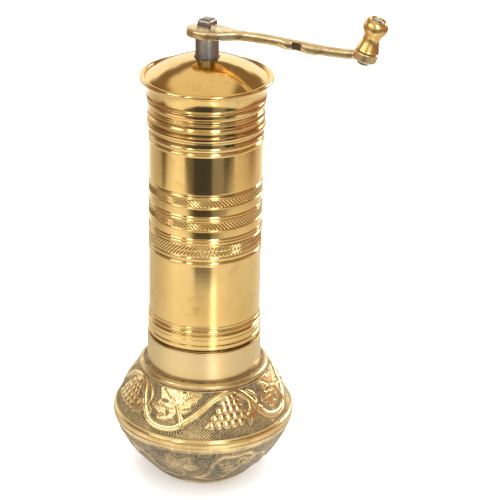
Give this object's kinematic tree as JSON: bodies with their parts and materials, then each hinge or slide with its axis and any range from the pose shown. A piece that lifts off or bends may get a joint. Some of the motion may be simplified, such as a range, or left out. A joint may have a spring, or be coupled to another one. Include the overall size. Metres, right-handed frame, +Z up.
{
  "type": "hand coffee mill",
  "caption": "Brass hand coffee mill: embossed bowl for the grounds, ringed barrel with cone burrs, domed lid, and a crank with a turning spool knob on a square shaft end.",
  "frame": {"origin": "centre of the foot's flat face, on the mill's axis", "axes": "+Z up along the barrel and the shaft, +X along the crank from the shaft towards the knob"},
  "size_m": [0.1201, 0.083, 0.2244],
  "materials": {
    "brass_polished": "polished brass with fine turning marks",
    "brass_satin": "satin brushed brass",
    "brass_antique": "cast brass with a dark grey-brown patina in the recesses and rubbed bright high points",
    "brass_cast": "cast brass, hand-filed and slightly dull",
    "steel": "turned mild steel, slightly darkened",
    "spring_steel": "drawn spring wire",
    "burr_iron": "hardened iron, dark from oil"
  },
  "bodies": {
    "receptacle": {"bowl_lower": "brass_antique", "bowl_upper": "brass_antique", "bowl_collar": "brass_satin"},
    "mill": {"barrel": "brass_polished", "burr_housing": "brass_satin", "ring_burr": "burr_iron", "burr_set_screws": "steel", "upper_bridge": "brass_cast", "upper_bush": "steel", "lower_bridge": "steel", "bridge_screws": "steel", "spring": "spring_steel"},
    "lid": {"lid_dome": "brass_polished", "lid_plug_ring": "brass_satin", "lid_bush": "steel"},
    "thrust": {"thrust_ball": "steel"},
    "adjuster": {"adjusting_screw": "steel"},
    "drive": {"drive_shaft": "steel", "cone_burr": "burr_iron", "spring_washer": "steel", "burr_nut": "steel"},
    "crank": {"crank_arm": "brass_cast", "knob_rivet": "steel"},
    "grip": {"knob": "brass_polished"}
  },
  "joints": [
    {"name": "barrel_lift", "type": "slide", "parent": "receptacle", "child": "mill", "axis": [0, 0, 1], "range_m": [0, 0.046]},
    {"name": "lid_lift", "type": "slide", "parent": "mill", "child": "lid", "axis": [0, 0, 1], "range_m": [0, 0.04]},
    {"name": "burr_gap", "type": "slide", "parent": "mill", "child": "thrust", "axis": [0, 0, 1], "range_m": [0, 0.0014], "deforming": ["spring"]},
    {"name": "grind_adjust", "type": "hinge", "parent": "thrust", "child": "adjuster", "pos_m": [0, 0, 0.035], "axis": [0, 0, 1], "range_deg": [0, 720]},
    {"name": "crank_turn", "type": "hinge", "parent": "thrust", "child": "drive", "pos_m": [0, 0, 0.1], "axis": [0, 0, 1], "continuous": true},
    {"name": "crank_lift", "type": "slide", "parent": "drive", "child": "crank", "axis": [0, 0, 1], "range_m": [0, 0.05]},
    {"name": "knob_spin", "type": "hinge", "parent": "crank", "child": "grip", "pos_m": [0.07, 0, 0.2093], "axis": [0.284, 0, 0.9588], "continuous": true}
  ],
  "couplings": [
    {"joint": "grind_adjust", "follows": "burr_gap", "rad_per_m": 8976},
    {"joint": "lid_lift", "follows": "crank_lift", "ratio": 0.8}
  ]
}
